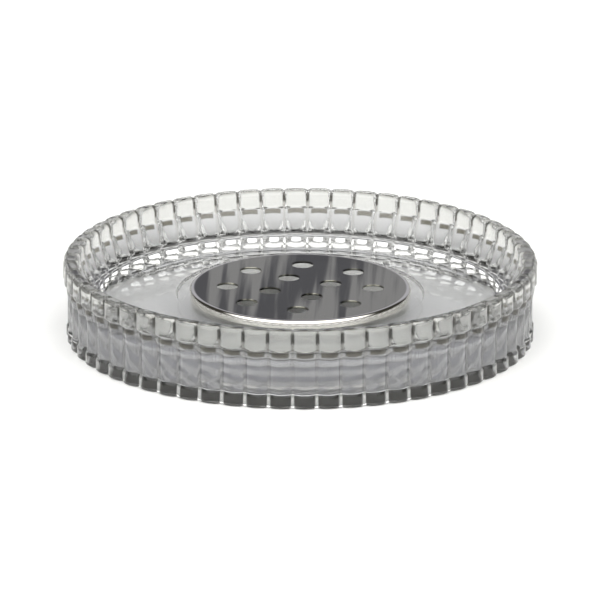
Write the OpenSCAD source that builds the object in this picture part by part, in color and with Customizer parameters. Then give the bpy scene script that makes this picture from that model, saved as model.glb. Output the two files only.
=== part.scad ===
// Ribbed glass dish with a loose perforated steel disc standing in its centre.
// Millimetres, +Z up, origin on the table at the centre of the dish's foot.

/* [Dish] */
// Width of the dish over the rib crests of its rim
dish_d = 136; // [113:1:170]
// Height of the dish, table to rim
dish_h = 23.3; // [19.3:0.1:40]
// Thickness of the wall at a rib crest of the rim
wall = 4.5; // [3.5:0.1:7]
// Height of the basin floor above the table
floor_z = 12.7; // [11:0.1:15]
// Radius of the cove between the basin floor and the wall
cove_r = 8; // [3:0.5:10]
// Radius that rounds the rim, inside and out
rim_round = 1.6; // [0.5:0.1:1.7]

/* [Ribs] */
// Number of upright ribs round the wall
rib_count = 60; // [40:1:80]
// Depth of the grooves between the ribs
rib_depth = 1.2; // [0.4:0.1:1.4]
// How far the waist stands in from the rim
waist_inset = 1.3; // [0.3:0.1:2]
// Height at which the waist ends and the rim's collar begins
collar_z = 17.5; // [12:0.5:18]
// How far the foot stands in from the rim
foot_inset = 0.7; // [0:0.1:2]
// Height of the foot band
foot_h = 3.6; // [2:0.1:6]

/* [Underside] */
// Width of the ring that the dish stands on
ring_w = 4.5; // [4:0.1:12]
// Height of that ring's inner side
ring_step = 2.8; // [1:0.1:3]
// How much higher the middle of the hollow is than its edge
hollow_rise = 1.8; // [0.5:0.1:3]
// Width of the flat middle of the hollow
hollow_flat_d = 60; // [20:1:70]

/* [Well] */
// Depth of the round well in the basin floor
well_depth = 0.8; // [0.5:0.1:2]
// Space between the edge of the steel disc and the side of the well
well_gap = 3.6; // [0.5:0.1:6]
// Radius that rounds the mouth of the well
well_round = 0.4; // [0.1:0.05:0.4]

/* [Steel disc] */
// Width of the steel disc
disc_d = 63.5; // [52:0.5:77]
// Height of the disc, lower edge of its skirt to its top
disc_h = 2.4; // [2:0.1:6]
// Thickness of the steel sheet
sheet = 0.6; // [0.4:0.1:0.7]
// Outer radius of the bend between the top and the skirt
shoulder_r = 0.9; // [0.8:0.1:1.8]

/* [Holes] */
// Width of each hole
hole_d = 6; // [3:0.1:7]
// Number of holes in the outer ring
outer_count = 8; // [3:1:10]
// Distance from the disc's edge to the centres of the outer ring
outer_margin = 10.85; // [7:0.05:13]
// Number of holes in the inner ring
inner_count = 4; // [1:1:4]
// Radius of the circle through the centres of the inner ring
inner_ring_r = 9.3; // [7:0.1:10]

/* [Fit] */
// Clearance under the disc's skirt
seat_gap = 0.1; // [0.05:0.05:0.5]

/* [Hidden] */
$fn = 96;

rim_r = dish_d / 2;
inner_r = rim_r - wall;
cove = min(cove_r, dish_h - floor_z - rim_round);
disc_r = disc_d / 2;
well_r = disc_r + well_gap;
mouth = min(well_round, well_depth);
well_z = floor_z - well_depth;
disc_z = well_z + seat_gap;
outer_ring_r = disc_r - outer_margin;
inner_turn = 180 / outer_count;
hollow_r = rim_r - foot_inset - ring_w;
hollow_flat_r = hollow_flat_d / 2;
over = 1; // how far a cut runs past the face it opens

// Radius of a rib whose grooves lie rib_depth inside its crest
function rib_r(crest) =
    let (g = crest - rib_depth, k = cos(180 / rib_count))
    (g * g + crest * crest - 2 * g * crest * k) / (2 * (crest - g * k));

// Outline of the wall: a ring of overlapping round ribs
module ribbed_outline(crest) {
    r = rib_r(crest);
    circle(r = crest - r);
    for (i = [0 : rib_count - 1])
        rotate((i + 0.5) * 360 / rib_count)
            translate([crest - r, 0]) circle(r = r);
}

// Band of ribs from one height to another
module ribbed_band(crest, low, high) {
    translate([0, 0, low])
        linear_extrude(height = high - low) ribbed_outline(crest);
}

// Half section of a round-edged block, whose upper outer edge has radius e
module soft_block(r, h, e) {
    square([r - e, h]);
    square([r, h - e]);
    translate([r - e, h - e]) circle(r = e);
}

// Half section of the basin: straight wall, cove and flat floor
module basin_section() {
    difference() {
        translate([0, floor_z]) square([inner_r + over + wall, dish_h - floor_z + over]);
        // the glass left standing outside the basin
        difference() {
            translate([inner_r - cove, floor_z - over])
                square([cove + wall + 2 * over, dish_h - floor_z + over]);
            translate([inner_r - cove, floor_z + cove]) circle(r = cove);
            translate([inner_r - cove - over, floor_z + cove])
                square([cove + over, dish_h]);
            // rounds the inner edge of the rim
            translate([inner_r, dish_h - rim_round])
                difference() {
                    translate([-over, 0]) square([rim_round + over, rim_round + over]);
                    translate([rim_round, 0]) circle(r = rim_round);
                }
        }
    }
}

// Half section of the well, with a rounded mouth
module well_section() {
    translate([0, well_z]) square([well_r, well_depth + over]);
    difference() {
        translate([well_r, floor_z - mouth]) square([mouth, mouth + over]);
        translate([well_r + mouth, floor_z - mouth]) circle(r = mouth);
    }
}

module glass_dish() {
    color("lightsteelblue")
    difference() {
        union() {
            ribbed_band(rim_r - foot_inset, 0, foot_h);
            ribbed_band(rim_r - waist_inset, foot_h, collar_z);
            ribbed_band(rim_r, collar_z, dish_h);
        }
        rotate_extrude() basin_section();
        rotate_extrude() well_section();
        rotate_extrude() hollow_section();
    }
}

// Half section of the hollow: flat in the middle, then curving down to the ring's inner side
module hollow_section() {
    run = hollow_r - hollow_flat_r;
    bend = (run * run + hollow_rise * hollow_rise) / (2 * hollow_rise);
    top = ring_step + hollow_rise;
    translate([0, -over]) square([hollow_r, ring_step + over]);
    square([hollow_flat_r, top]);
    intersection() {
        translate([hollow_flat_r, top - bend]) circle(r = bend, $fn = 960); // a long arc needs a fine outline
        translate([hollow_flat_r, 0]) square([run, top]);
    }
}

// Ring of upright holes through the top of the disc
module hole_ring(count, ring_r, turn) {
    for (i = [0 : count - 1])
        rotate(turn + i * 360 / count)
            translate([ring_r, 0, disc_h / 2]) cylinder(d = hole_d, h = disc_h);
}

module steel_disc() {
    color("silver")
    translate([0, 0, disc_z])
        difference() {
            rotate_extrude() soft_block(disc_r, disc_h, shoulder_r);
            translate([0, 0, -over])
                rotate_extrude()
                    soft_block(disc_r - sheet, disc_h - sheet + over, shoulder_r - sheet);
            hole_ring(outer_count, outer_ring_r, 0);
            hole_ring(inner_count, inner_ring_r, inner_turn);
        }
}

glass_dish();
steel_disc();
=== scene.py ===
import math
import bpy
from mathutils import Matrix, Vector


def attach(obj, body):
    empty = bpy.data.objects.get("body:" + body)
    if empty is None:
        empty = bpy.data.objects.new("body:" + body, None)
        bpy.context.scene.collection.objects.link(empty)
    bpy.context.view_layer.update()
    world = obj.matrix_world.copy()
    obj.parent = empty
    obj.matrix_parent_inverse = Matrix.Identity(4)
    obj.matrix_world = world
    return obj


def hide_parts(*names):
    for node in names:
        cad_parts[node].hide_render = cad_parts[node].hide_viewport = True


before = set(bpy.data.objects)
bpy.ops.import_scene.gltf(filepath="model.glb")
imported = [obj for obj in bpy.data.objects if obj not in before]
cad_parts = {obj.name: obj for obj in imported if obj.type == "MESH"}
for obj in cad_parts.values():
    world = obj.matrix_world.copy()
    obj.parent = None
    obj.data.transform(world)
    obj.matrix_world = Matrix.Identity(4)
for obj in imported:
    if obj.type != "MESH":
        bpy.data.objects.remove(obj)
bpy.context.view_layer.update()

mm = 0.001


class Wire:
    # a socket that adds its own Math nodes when it stands in an expression
    def __init__(self, bench, socket):
        self.bench, self.socket = bench, socket

    def maths(self, operation, *others):
        return self.bench.maths(operation, self, *others)

    def __add__(self, other):
        return self.maths("ADD", other)

    def __sub__(self, other):
        return self.maths("SUBTRACT", other)

    def __rsub__(self, other):
        return self.bench.maths("SUBTRACT", other, self)

    def __mul__(self, other):
        return self.maths("MULTIPLY", other)

    def __truediv__(self, other):
        return self.maths("DIVIDE", other)

    def __rtruediv__(self, other):
        return self.bench.maths("DIVIDE", other, self)

    def __pow__(self, other):
        return self.maths("POWER", other)

    def __mod__(self, other):
        return self.maths("FLOORED_MODULO", other)

    __radd__ = __add__
    __rmul__ = __mul__


class Bench:
    # a node tree while it is being filled
    def __init__(self, tree):
        self.tree = tree

    def node(self, kind, settings=None, sockets=None):
        made = self.tree.nodes.new(kind)
        for name, value in (settings or {}).items():
            if name == "stops":
                ramp = made.color_ramp.elements
                while len(ramp) < len(value):
                    ramp.new(1)
                for stop, (place, colour) in zip(ramp, value):
                    stop.position, stop.color = place, colour
            else:
                setattr(made, name, value)
        for name, value in (sockets or {}).items():
            if isinstance(value, Wire):
                value = value.socket
            if isinstance(value, bpy.types.NodeSocket):
                self.tree.links.new(value, made.inputs[name])
            else:
                made.inputs[name].default_value = value
        return made

    def wire(self, kind, output, settings=None, sockets=None):
        return Wire(self, self.node(kind, settings, sockets).outputs[output])

    def maths(self, operation, *values):
        return self.wire("ShaderNodeMath", 0, {"operation": operation}, dict(enumerate(values)))

    def smooth(self, value, low, high, start=0.0, end=1.0):
        return self.wire("ShaderNodeMapRange", "Result", {"interpolation_type": "SMOOTHSTEP"},
                         {"Value": value, "From Min": low, "From Max": high,
                          "To Min": start, "To Max": end})

    def blend(self, factor, low, high):
        # sockets 0, 6 and 7 of a Mix node are its factor and its two colours, and output 2 is their mix
        return self.wire("ShaderNodeMix", 2, {"data_type": "RGBA"}, {0: factor, 6: low, 7: high})


def shaderBench(owner):
    owner.use_nodes = True
    owner.node_tree.nodes.clear()
    return Bench(owner.node_tree)


def geometryBench(name, inputs):
    # a geometry tree with one named input for each size
    tree = bpy.data.node_groups.new(name, "GeometryNodeTree")
    tree.interface.new_socket("Geometry", in_out="INPUT", socket_type="NodeSocketGeometry")
    tree.interface.new_socket("Geometry", in_out="OUTPUT", socket_type="NodeSocketGeometry")
    for key, value in inputs.items():
        kind = "NodeSocketInt" if isinstance(value, int) else "NodeSocketFloat"
        tree.interface.new_socket(key, in_out="INPUT", socket_type=kind).default_value = value
    bench = Bench(tree)
    entry = bench.node("NodeGroupInput")
    return bench, {socket.name: Wire(bench, socket) for socket in entry.outputs if socket.name}


def closeTree(bench, geometry, material):
    geometry = bench.wire("GeometryNodeSetShadeSmooth", 0, None, {"Geometry": geometry})
    geometry = bench.wire("GeometryNodeRealizeInstances", 0, None, {"Geometry": geometry})
    geometry = bench.wire("GeometryNodeSetMaterial", 0, None, {"Geometry": geometry, "Material": material})
    bench.node("NodeGroupOutput", None, {"Geometry": geometry})


def growPiece(name, outline, tree, sizes):
    # runs a geometry tree on an outline and keeps the result as a plain mesh
    seed = bpy.data.objects.new(name + "Outline", outline)
    bpy.context.scene.collection.objects.link(seed)
    modifier = seed.modifiers.new("grow", "NODES")
    modifier.node_group = tree
    for item in tree.interface.items_tree:
        if item.in_out == "INPUT" and item.name in sizes:
            modifier[item.identifier] = sizes[item.name]
    evaluated = seed.evaluated_get(bpy.context.evaluated_depsgraph_get())
    mesh = bpy.data.meshes.new_from_object(evaluated)
    mesh.name = name
    seed.modifiers.remove(modifier)
    bpy.data.objects.remove(seed)
    piece = bpy.data.objects.new(name, mesh)
    bpy.context.scene.collection.objects.link(piece)
    print("grown", name, len(mesh.vertices), "points", len(mesh.polygons), "faces")
    return piece


def arc(centreR, centreZ, radius, startDeg, endDeg, steps):
    turn = [math.radians(startDeg + (endDeg - startDeg) * i / steps) for i in range(steps + 1)]
    return [(centreR + radius * math.cos(a), centreZ + radius * math.sin(a)) for a in turn]


def outlineMesh(name, points, keys):
    # half section as points (radius, height, then one value for each key)
    mesh = bpy.data.meshes.new(name)
    mesh.from_pydata([(p[0] * mm, 0, p[1] * mm) for p in points],
                     [(i, i + 1) for i in range(len(points) - 1)], [])
    for slot, key in enumerate(keys, 2):
        values = mesh.attributes.new(key, "FLOAT", "POINT")
        values.data.foreach_set("value", [p[slot] for p in points])
    return mesh


def spinOutline(bench, outline, segments):
    # a grid with one row for each outline point and one column for each step of the turn
    rows = bench.wire("GeometryNodeAttributeDomainSize", "Point Count", {"component": "MESH"},
                      {"Geometry": outline})
    grid = bench.wire("GeometryNodeMeshGrid", "Mesh", None, {"Vertices X": segments + 1, "Vertices Y": rows})
    index = bench.wire("GeometryNodeInputIndex", 0)
    row, column = index % rows, (index / rows).maths("FLOOR")

    def sample(kind, value):
        return bench.wire("GeometryNodeSampleIndex", 0, {"data_type": kind, "domain": "POINT"},
                          {"Geometry": outline, "Value": value, "Index": row})

    def stored(key):
        return sample("FLOAT", bench.wire("GeometryNodeInputNamedAttribute", "Attribute",
                                          {"data_type": "FLOAT"}, {"Name": key}))

    place = bench.node("ShaderNodeSeparateXYZ", None,
                       {"Vector": sample("FLOAT_VECTOR", bench.wire("GeometryNodeInputPosition", 0))})
    radius, height = Wire(bench, place.outputs["X"]), Wire(bench, place.outputs["Z"])
    return grid, column / segments * math.tau, radius, height, stored


def placeSpun(bench, grid, turn, radius, height):
    position = bench.wire("ShaderNodeCombineXYZ", 0, None,
                          {"X": radius * turn.maths("COSINE"), "Y": radius * turn.maths("SINE"), "Z": height})
    return bench.wire("GeometryNodeSetPosition", 0, None, {"Geometry": grid, "Position": position})


def ribbedTree(material):
    # spins the dish's outline and presses upright ribs into its wall
    bench, given = geometryBench("ribbedTurning", {
        "Segments": 240, "Ribs": 60, "Rib Depth": 0.8 * mm,
        "Rib Turn": 0.0, "Notch Power": 2.0})
    grid, turn, radius, height, stored = spinOutline(bench, given["Geometry"], given["Segments"])
    across = ((turn / math.tau * given["Ribs"] + given["Rib Turn"]) % 1 - 0.5) * 2      # -1 to 1 over a rib
    inset = across.maths("ABSOLUTE") ** stored("ribPower") * given["Rib Depth"]
    reach = radius - inset * stored("ribShare")
    lift = height - (inset / given["Rib Depth"]) ** given["Notch Power"] * stored("rimDrop") * mm
    spun = placeSpun(bench, grid, turn, reach, lift)
    closed = bench.wire("GeometryNodeMergeByDistance", 0, None, {"Geometry": spun, "Distance": 2e-6})
    closeTree(bench, closed, material)
    return bench.tree


# clear is the glass's own tint; the other tints are painted shade on patches of the wall, rim and ring; radii
# and heights of the patches are in millimetres; an edge is a share of half a rib
glassLook = {
    "clear": (0.97, 0.975, 0.97, 1), "collar": (0.74, 0.745, 0.72, 1), "waist": (0.50, 0.505, 0.525, 1),
    "shelfShade": (0.05, 0.045, 0.033, 1), "grooveShade": (0.28, 0.27, 0.25, 1), "barShade": (0.012, 0.011, 0.009, 1),
    "rim": (0.55, 0.55, 0.52, 1), "groundAndPaintedShade": (0.002, 0.002, 0.0015, 1),
    "shadowMatt": (0.03, 0.028, 0.024, 1), "mattShare": 0.65, "roughMatt": 0.8,
    "ior": 1.51, "roughClear": 0.0, "roughWavy": 0.01, "roughCollar": 0.05, "roughWaist": 0.17,
    "roughGround": 0.35, "outerR": (64.8, 65.4), "footZ": (3.0, 3.6), "collarZ": (16.6, 17.6),
    "shelfLow": (14.8, 15.4), "shelfHigh": (16.6, 17.2), "barLow": (18.8, 19.8), "barHigh": (22.0, 22.8),
    "rimZ": (22.6, 23.1), "groundR": (62.7, 62.9), "groundZ": (2.5, 2.75), "footEdgeR": (66.0, 66.3),
    "blockEdge": (0.62, 0.80), "grooveEdge": (0.81, 0.95), "barEdge": (0.80, 0.92), "waistShare": 0.6,
    "waveScale": 60.0, "waveDetail": 2.0, "waveRange": (0.35, 0.75), "waveHeight": 0.00002}


def glassMaterial():
    # clear pressed glass, hazy on the ribbed wall and greyer there by painted shade, with a rough ring
    # underneath painted dark as a contact shadow
    look = glassLook
    material = bpy.data.materials.new("pressedGlass")
    bench = shaderBench(material)
    place = bench.wire("ShaderNodeTexCoord", "Object")
    axes = bench.node("ShaderNodeSeparateXYZ", None, {"Vector": place})
    x, y, z = (Wire(bench, axes.outputs[axis]) for axis in "XYZ")
    radius, height = (x * x + y * y).maths("SQRT") / mm, z / mm
    turn = y.maths("ARCTAN2", x)
    across = (((turn / math.tau * dish["ribs"] + dish["ribTurn"]) % 1 - 0.5) * 2).maths("ABSOLUTE")
    outside = bench.smooth(radius, *look["outerR"])
    overCollar = bench.smooth(height, *look["collarZ"])
    block = 1 - bench.smooth(across, *look["blockEdge"])
    collar = outside * overCollar
    waist = outside * bench.smooth(height, *look["footZ"]) * (1 - overCollar)
    # painted shade: a shadowed step under the collar, darker grooves, short dark bars near the rim, and a
    # painted contact shadow on the ring underneath
    shelfShade = outside * block * bench.smooth(height, *look["shelfLow"]) \
        * (1 - bench.smooth(height, *look["shelfHigh"]))
    grooveShade = bench.smooth(across, *look["grooveEdge"]) * (collar + waist * look["waistShare"])
    barShade = outside * bench.smooth(across, *look["barEdge"]) * bench.smooth(height, *look["barLow"]) \
        * (1 - bench.smooth(height, *look["barHigh"]))
    rim = bench.smooth(height, *look["rimZ"])
    ring = bench.smooth(radius, *look["groundR"]) * (1 - bench.smooth(radius, *look["footEdgeR"]))
    groundAndPaintedShade = block * ring * (1 - bench.smooth(height, *look["groundZ"]))
    wave = bench.wire("ShaderNodeTexNoise", "Fac", None,
                      {"Vector": place, "Scale": look["waveScale"], "Detail": look["waveDetail"]})
    wavy = bench.smooth(wave, *look["waveRange"], look["roughClear"], look["roughWavy"])
    rough = wavy + groundAndPaintedShade * (look["roughGround"] - wavy) + waist * (look["roughWaist"] - wavy) \
        + collar * (look["roughCollar"] - wavy)
    masks = {"collar": collar, "waist": waist, "shelfShade": shelfShade, "grooveShade": grooveShade, "rim": rim,
             "barShade": barShade, "groundAndPaintedShade": groundAndPaintedShade}
    # each mask blends in painted shade: greyer collar and waist, darker rim, shelf, grooves and bars, and a
    # near-black contact shadow on the ring
    tint = look["clear"]
    for key, mask in masks.items():
        tint = bench.blend(mask, tint, look[key])
    bump = bench.wire("ShaderNodeBump", "Normal", None,
                      {"Height": wave, "Distance": look["waveHeight"], "Strength": 1.0})
    shader = bench.wire("ShaderNodeBsdfPrincipled", 0, None,
                        {"Base Color": tint, "Roughness": rough, "Normal": bump,
                         "IOR": look["ior"], "Transmission Weight": 1.0})
    # a dark matt layer on the rough ring underneath, painted in as contact shadow
    shadowMatt = bench.wire("ShaderNodeBsdfPrincipled", 0, None,
                      {"Base Color": look["shadowMatt"], "Roughness": look["roughMatt"]})
    mixed = bench.wire("ShaderNodeMixShader", 0, None,
                       {0: groundAndPaintedShade * look["mattShare"], 1: shader, 2: shadowMatt})
    bench.node("ShaderNodeOutputMaterial", None, {"Surface": mixed})
    print("made the glass")
    return material


# millimetres and degrees; the powers and shares shape the grooves between the ribs
dish = {
    "rimR": 68.0, "height": 23.3, "waistR": 66.7, "footR": 67.1, "wall": 4.5, "floorZ": 12.7,
    "cove": 8.0, "rimRound": 1.7, "wellR": 35.35, "wellDepth": 0.8, "wellRound": 0.4, "wellCorner": 0.3,
    "hollowR": 30.0, "ringInnerR": 62.8, "ringSlope": 6.6, "ringStep": 2.8, "ringLean": 0.7,
    "ribDepth": 1.35, "ribs": 60, "ribTurn": 0.0, "collarPower": 4.0, "waistPower": 1.8,
    "waistDepth": 1.15, "rimShare": 0.4, "rimNotch": 0.5, "notchPower": 1.5, "stepsPerRib": 16,
    "footRound": 0.7, "footShare": 0.6, "footFlat": 1.2, "footTop": 2.6, "waistLow": 3.0, "waistStep": 1.2,
    "taperLow": 12.0, "waistTop": 9.0, "collarLow": 16.6, "collarHigh": 17.8, "guard": 0.15}


def eased(i, steps):
    # 0 to 1, slow at both ends
    return (1 - math.cos(math.pi * i / steps)) / 2


def between(start, end, share):
    return start + (end - start) * share


def dishOutline():
    # each point is (radius, height, depth of the ribs, drop of the rim, power of the groove)
    d = dish
    inner, guard, edge = d["rimR"] - d["wall"], d["guard"], d["footRound"]
    waist, collar, deep = d["waistPower"], d["collarPower"], d["waistDepth"]
    # underside: flat in the middle, then curving down to the inner side of the ring it stands on
    slope = math.radians(d["ringSlope"])
    bend = (d["ringInnerR"] - d["hollowR"]) / math.sin(slope)
    hollowZ = d["ringStep"] + bend * (1 - math.cos(slope))
    path = [(0, hollowZ, 0, 0, 1)]
    path += [(r, z, 0, 0, 1)
             for r, z in arc(d["hollowR"], hollowZ - bend, bend, 90, 90 - d["ringSlope"], 14)]
    path += [(d["ringInnerR"] + 0.1 + d["ringLean"] * eased(i, 5), d["ringStep"] * (1 - eased(i, 5)), 0, 0, 1)
             for i in range(1, 6)]
    path += [(d["ringInnerR"] + 1.0, 0, 0, 0, 1), (d["footR"] - edge - d["footFlat"], 0, 0, 0, waist)]
    # foot band
    path += [(r, z, between(d["footShare"], 1, i / 5), 0, waist)
             for i, (r, z) in enumerate(arc(d["footR"] - edge, edge, edge, -90, 0, 5))]
    path += [(d["footR"], d["footTop"], 1, 0, waist)]
    # waist, which widens again into the collar
    path += [(between(d["footR"], d["waistR"], eased(i, 5)), d["waistLow"] + d["waistStep"] * i / 5,
              between(1, deep, eased(i, 5)), 0, waist) for i in range(6)]
    path += [(d["waistR"], d["waistTop"], deep, 0, waist)]
    half = (d["waistR"] + d["rimR"]) / 2
    path += [(between(d["waistR"], half, eased(i, 5)), between(d["taperLow"], d["collarLow"], i / 5),
              deep, 0, waist) for i in range(6)]
    path += [(between(half, d["rimR"], eased(i, 4)), between(d["collarLow"], d["collarHigh"], i / 4),
              between(deep, 1, eased(i, 4)), 0, between(waist, collar, i / 4)) for i in range(1, 5)]
    # rim, notched between the ribs
    top, soft = d["height"] - d["rimRound"], d["rimRound"]
    path += [(r, z, between(1, d["rimShare"], i / 6), d["rimNotch"] * i / 6, collar)
             for i, (r, z) in enumerate(arc(d["rimR"] - soft, top, soft, 0, 90, 6))]
    path += [(r, z, d["rimShare"] * (1 - i / 6), d["rimNotch"] * (1 - i / 6), collar)
             for i, (r, z) in enumerate(arc(inner + soft, top, soft, 90, 180, 6))]
    # basin and well
    cove, floorZ = d["cove"], d["floorZ"]
    path += [(r, z, 0, 0, 1) for r, z in arc(inner - cove, floorZ + cove, cove, 0, -90, 14)]
    path += [(inner - cove - 2 * guard, floorZ, 0, 0, 1)]
    well, mouth, corner = d["wellR"], d["wellRound"], d["wellCorner"]
    wellZ = floorZ - d["wellDepth"]
    path += [(well + mouth + guard, floorZ, 0, 0, 1)]
    path += [(r, z, 0, 0, 1) for r, z in arc(well + mouth, floorZ - mouth, mouth, 90, 180, 5)]
    path += [(r, z, 0, 0, 1) for r, z in arc(well - corner, wellZ + corner, corner, 0, -90, 4)]
    path += [(well - corner - guard, wellZ, 0, 0, 1), (0, wellZ, 0, 0, 1)]
    return outlineMesh("dishOutline", path, ("ribShare", "rimDrop", "ribPower"))


def makeDish():
    tree = ribbedTree(glassMaterial())
    piece = growPiece("pressedGlassDish", dishOutline(), tree, {
        "Segments": dish["ribs"] * dish["stepsPerRib"], "Ribs": dish["ribs"],
        "Rib Depth": dish["ribDepth"] * mm, "Rib Turn": dish["ribTurn"], "Notch Power": dish["notchPower"]})
    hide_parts("glass_dish")
    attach(piece, "dish")
    return piece


# dark and light are painted reflection streaks on the disc's top; edge is a painted highlight on its shoulder
steelLook = {
    "dark": (0.024, 0.0235, 0.019, 1), "light": (0.37, 0.365, 0.315, 1), "edge": (0.86, 0.84, 0.80, 1),
    "rough": (0.04, 0.14), "flatR": (30.2, 30.8), "rollR": (24.0, 30.0),
    "grain": (1100.0, 30.0, 3.0), "grainRange": (0.3, 0.7), "grainHeight": 0.000010,
    "reflectionStreak": (190.0, 7.0, 3.0), "reflectionStreakShare": 0.6, "reflectionStreakEdge": (0.45, 0.54),
    "band": (55.0, 5.0, 1.0), "bandHeight": 0.00030}      # noises: scale across, scale along, detail


def steelMaterial():
    # polished sheet with painted reflection streaks and a rolled grain that run front to back, and a painted
    # highlight on its edge
    look = steelLook
    material = bpy.data.materials.new("polishedSteel")
    bench = shaderBench(material)
    place = bench.wire("ShaderNodeTexCoord", "Object")
    axes = bench.node("ShaderNodeSeparateXYZ", None, {"Vector": place})
    x, y = (Wire(bench, axes.outputs[axis]) for axis in "XY")
    radius = (x * x + y * y).maths("SQRT") / mm
    # past flatR the disc takes the edge colour, a painted highlight on its rolled shoulder
    edge = bench.smooth(radius, *look["flatR"])

    def stretched(across, along, detail):
        scaled = bench.wire("ShaderNodeMapping", 0, None,
                            {"Vector": place, "Scale": (across, along, along)})
        return bench.wire("ShaderNodeTexNoise", "Fac", None,
                          {"Vector": scaled, "Scale": 1.0, "Detail": detail})

    grain, reflectionStreak, band = (stretched(*look[key]) for key in ("grain", "reflectionStreak", "band"))
    rough = bench.smooth(grain, *look["grainRange"], *look["rough"])
    share = look["reflectionStreakShare"]
    # the streak and band noises pick between the dark and light painted reflection
    paintedReflection = bench.smooth(reflectionStreak * share + band * (1 - share), *look["reflectionStreakEdge"])
    tint = bench.blend(edge, bench.blend(paintedReflection, look["dark"], look["light"]), look["edge"])
    rolled = bench.wire("ShaderNodeBump", "Normal", None,
                        {"Height": (band - 0.5) * (1 - bench.smooth(radius, *look["rollR"])),
                         "Distance": look["bandHeight"], "Strength": 1.0})
    bump = bench.wire("ShaderNodeBump", "Normal", None,
                      {"Height": grain, "Distance": look["grainHeight"], "Strength": 1.0, "Normal": rolled})
    shader = bench.wire("ShaderNodeBsdfPrincipled", 0, None,
                        {"Base Color": tint, "Roughness": rough, "Normal": bump, "Metallic": 1.0})
    bench.node("ShaderNodeOutputMaterial", None, {"Surface": shader})
    print("made the steel")
    return material


disc = {
    "edgeR": 31.75, "topZ": 14.4, "lowZ": 12.0, "sheet": 0.6, "shoulder": 0.9, "holeR": 3.0, "holeEdge": 0.2,
    "outerHoles": 8, "outerRing": 20.9, "innerHoles": 4, "innerRing": 9.3, "innerTurn": 22.5,
    "segments": 240, "holeSegments": 48, "guard": 0.12}


def discOutline():
    # share 0: shoulder and skirt of the disc; share 1: the wall of one hole
    d = disc
    top, under, edge, guard = d["topZ"], d["topZ"] - d["sheet"], d["holeEdge"], d["guard"]
    flatR, lip = d["edgeR"] - d["shoulder"], d["sheet"] / 2
    skirt = [(flatR - guard, under)]
    skirt += arc(flatR, top - d["shoulder"], d["shoulder"] - d["sheet"], 90, 0, 6)
    skirt += arc(d["edgeR"] - lip, d["lowZ"] + lip, lip, 180, 360, 8)
    skirt += arc(flatR, top - d["shoulder"], d["shoulder"], 0, 90, 10)
    skirt += [(flatR - guard, top)]
    hole = [(d["holeR"] + edge + guard, top)]
    hole += arc(d["holeR"] + edge, top - edge, edge, 90, 180, 4)
    hole += arc(d["holeR"] + edge, under + edge, edge, 180, 270, 4)
    hole += [(d["holeR"] + edge + guard, under)]
    points = [(r, z, 0) for r, z in skirt] + [(r, z, 1) for r, z in hole]
    return outlineMesh("discOutline", points, ("inHole",))


def perforatedTree(material):
    # flat sheet with round holes, a wall in each hole, and the shoulder and skirt spun round it
    bench, given = geometryBench("perforatedSheet", {
        "Segments": 240, "Hole Segments": 48, "Sheet Radius": 30 * mm, "Hole Radius": 3 * mm,
        "Top": 14 * mm, "Under": 13 * mm, "Outer Holes": 8, "Outer Ring": 20 * mm,
        "Inner Holes": 4, "Inner Ring": 9 * mm, "Inner Turn": 0.4})
    isHole = bench.wire("GeometryNodeInputNamedAttribute", "Attribute", {"data_type": "FLOAT"},
                        {"Name": "inHole"}).maths("GREATER_THAN", 0.5)
    parts = bench.node("GeometryNodeSeparateGeometry", {"domain": "POINT"},
                       {"Geometry": given["Geometry"], "Selection": isHole})

    def spun(outline, segments):
        grid, turn, radius, height, _ = spinOutline(bench, Wire(bench, outline), segments)
        return placeSpun(bench, grid, turn, radius, height)

    def ring(count, radius, turn):
        circle = bench.wire("GeometryNodeMeshCircle", 0, None, {"Vertices": count, "Radius": radius})
        turned = bench.wire("ShaderNodeCombineXYZ", 0, None, {"Z": turn})
        return bench.wire("GeometryNodeTransform", 0, None, {"Geometry": circle, "Rotation": turned})

    def joined(*geometries):
        join = bench.node("GeometryNodeJoinGeometry")
        for geometry in geometries:
            bench.tree.links.new(geometry.socket, join.inputs[0])
        return Wire(bench, join.outputs[0])

    def atHoles(instance):
        placed = bench.wire("GeometryNodeInstanceOnPoints", 0, None, {"Points": centres, "Instance": instance})
        return bench.wire("GeometryNodeRealizeInstances", 0, None, {"Geometry": placed})

    centres = joined(ring(given["Outer Holes"], given["Outer Ring"], 0.0),
                     ring(given["Inner Holes"], given["Inner Ring"], given["Inner Turn"]))
    holeCircle = bench.wire("GeometryNodeCurvePrimitiveCircle", 0, None,
                            {"Resolution": given["Hole Segments"], "Radius": given["Hole Radius"]})
    sheetCircle = bench.wire("GeometryNodeCurvePrimitiveCircle", 0, None,
                             {"Resolution": given["Segments"], "Radius": given["Sheet Radius"]})
    sheet = bench.wire("GeometryNodeFillCurve", 0, None, {"Curve": joined(sheetCircle, atHoles(holeCircle))})

    def lifted(geometry, height):
        rise = bench.wire("ShaderNodeCombineXYZ", 0, None, {"Z": height})
        return bench.wire("GeometryNodeTransform", 0, None, {"Geometry": geometry, "Translation": rise})

    underside = bench.wire("GeometryNodeFlipFaces", 0, None, {"Mesh": lifted(sheet, given["Under"])})
    whole = joined(lifted(sheet, given["Top"]), underside, spun(parts.outputs["Inverted"], given["Segments"]),
                   atHoles(spun(parts.outputs["Selection"], given["Hole Segments"])))
    closed = bench.wire("GeometryNodeMergeByDistance", 0, None, {"Geometry": whole, "Distance": 4e-6})
    closeTree(bench, closed, material)
    return bench.tree


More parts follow.
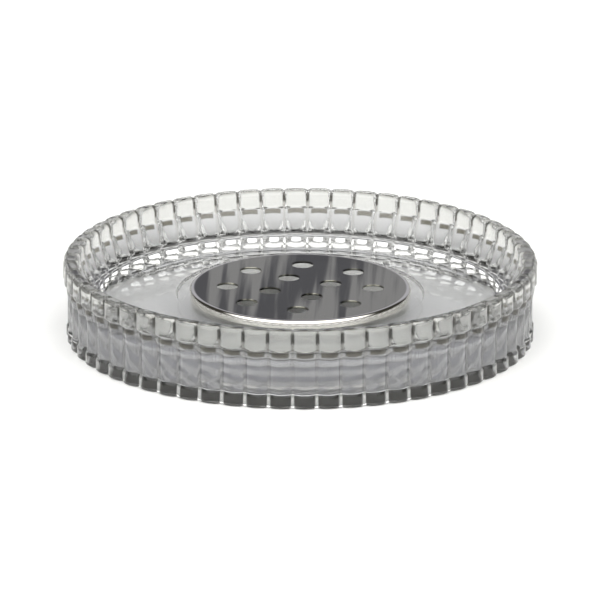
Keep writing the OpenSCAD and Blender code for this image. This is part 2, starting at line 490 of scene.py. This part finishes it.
def makeDisc():
    d = disc
    piece = growPiece("perforatedSteelDisc", discOutline(), perforatedTree(steelMaterial()), {
        "Segments": d["segments"], "Hole Segments": d["holeSegments"],
        "Sheet Radius": (d["edgeR"] - d["shoulder"] - d["guard"]) * mm,
        "Hole Radius": (d["holeR"] + d["holeEdge"] + d["guard"]) * mm, "Top": d["topZ"] * mm,
        "Under": (d["topZ"] - d["sheet"]) * mm,
        "Outer Holes": d["outerHoles"], "Outer Ring": d["outerRing"] * mm,
        "Inner Holes": d["innerHoles"], "Inner Ring": d["innerRing"] * mm,
        "Inner Turn": math.radians(d["innerTurn"])})
    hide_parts("steel_disc")
    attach(piece, "disc")
    return piece


# the floor is paler to the camera than to light that has passed through the glass
floorLook = {"open": (0.96, 0.96, 0.96, 1), "under": (0.80, 0.80, 0.795, 1), "rough": 0.9,
             "half": 9, "sink": 0.0002}


def makeFloor():
    mesh = bpy.data.meshes.new("floor")
    half, z = floorLook["half"], -floorLook["sink"]
    mesh.from_pydata([(-half, -half, z), (half, -half, z), (half, half, z), (-half, half, z)],
                     [], [(0, 1, 2, 3)])
    floor = bpy.data.objects.new("floor", mesh)
    bpy.context.scene.collection.objects.link(floor)
    material = bpy.data.materials.new("paleFloor")
    bench = shaderBench(material)
    direct = bench.wire("ShaderNodeLightPath", "Is Camera Ray")
    pale = bench.blend(direct, floorLook["under"], floorLook["open"])
    shader = bench.wire("ShaderNodeBsdfPrincipled", 0, None,
                        {"Base Color": pale, "Roughness": floorLook["rough"]})
    bench.node("ShaderNodeOutputMaterial", None, {"Surface": shader})
    mesh.materials.append(material)
    print("laid the floor")


sky = {"room": (0.045, 0.043, 0.037, 1), "haze": (0.46, 0.46, 0.50, 1), "lamp": (2.3, 2.3, 2.26, 1),
       "plain": (1, 1, 1, 1), "seen": 1.15,
       "hazeLow": (0.10, 0.22), "hazeHigh": (0.42, 0.54), "hazeSide": (0.2, 0.6),
       "lampEdge": (0.42, 0.66), "lampTilt": 33.0, "lampLow": (0.12, 0.36)}


def makeSky():
    # dark room towards the horizon, a hazy patch straight behind, and one broad light above that leans forward
    world = bpy.data.worlds.new("studio")
    bpy.context.scene.world = world
    bench = shaderBench(world)
    way = bench.node("ShaderNodeSeparateXYZ", None, {"Vector": bench.wire("ShaderNodeTexCoord", "Generated")})
    side, away, up = (Wire(bench, way.outputs[axis]) for axis in "XYZ")
    tilt = math.radians(sky["lampTilt"])
    lamp = bench.smooth(up * math.cos(tilt) - away * math.sin(tilt), *sky["lampEdge"]) \
        * bench.smooth(up, *sky["lampLow"])
    behind = bench.smooth(away - side.maths("ABSOLUTE"), *sky["hazeSide"])
    haze = bench.smooth(up, *sky["hazeLow"]) * (1 - bench.smooth(up, *sky["hazeHigh"])) * behind

    colour = bench.blend(lamp, bench.blend(haze, sky["room"], sky["haze"]), sky["lamp"])
    lit = bench.wire("ShaderNodeBackground", 0, None, {"Color": colour, "Strength": 1.0})
    plain = bench.wire("ShaderNodeBackground", 0, None, {"Color": sky["plain"], "Strength": sky["seen"]})
    mixed = bench.wire("ShaderNodeMixShader", 0, None,
                       {0: bench.wire("ShaderNodeLightPath", "Is Camera Ray"), 1: lit, 2: plain})
    bench.node("ShaderNodeOutputWorld", None, {"Surface": mixed})
    print("lit the studio")


# lengths in the picture are shares of its width; the distance is in metres and the angles in degrees
viewer = {"azimuth": 1.8, "elevation": 18.36, "distance": 2.72, "focal": 15.777333,
          "offsetX": 0.000383, "offsetY": 0.057717, "roll": 0.2, "sensor": 36.0, "clip": (0.1, 50)}


def makeCamera():
    v = viewer
    data = bpy.data.cameras.new("camera")
    data.sensor_width = v["sensor"]
    data.lens = v["focal"] * v["sensor"]
    data.clip_start, data.clip_end = v["clip"]
    camera = bpy.data.objects.new("camera", data)
    bpy.context.scene.collection.objects.link(camera)
    azimuth, elevation = math.radians(v["azimuth"]), math.radians(v["elevation"])
    back = Vector((math.sin(azimuth) * math.cos(elevation), -math.cos(azimuth) * math.cos(elevation),
                   math.sin(elevation)))
    # looks at the origin, then turns so that the origin stands off the middle of the frame
    turn = (-back).to_track_quat("-Z", "Y").to_matrix().to_4x4()
    turn @= Matrix.Rotation(math.atan(v["offsetY"] / v["focal"]), 4, "X")
    turn @= Matrix.Rotation(math.atan(v["offsetX"] / v["focal"]), 4, "Y")
    turn @= Matrix.Rotation(math.radians(v["roll"]), 4, "Z")
    camera.matrix_world = Matrix.Translation(back * v["distance"]) @ turn
    bpy.context.scene.camera = camera
    print("placed the camera")


scene = bpy.context.scene
scene.view_settings.view_transform = "Standard"
scene.cycles.max_bounces = 24
scene.cycles.transmission_bounces = 24
scene.cycles.glossy_bounces = 12
makeCamera()
makeDish()
makeDisc()
makeFloor()
makeSky()
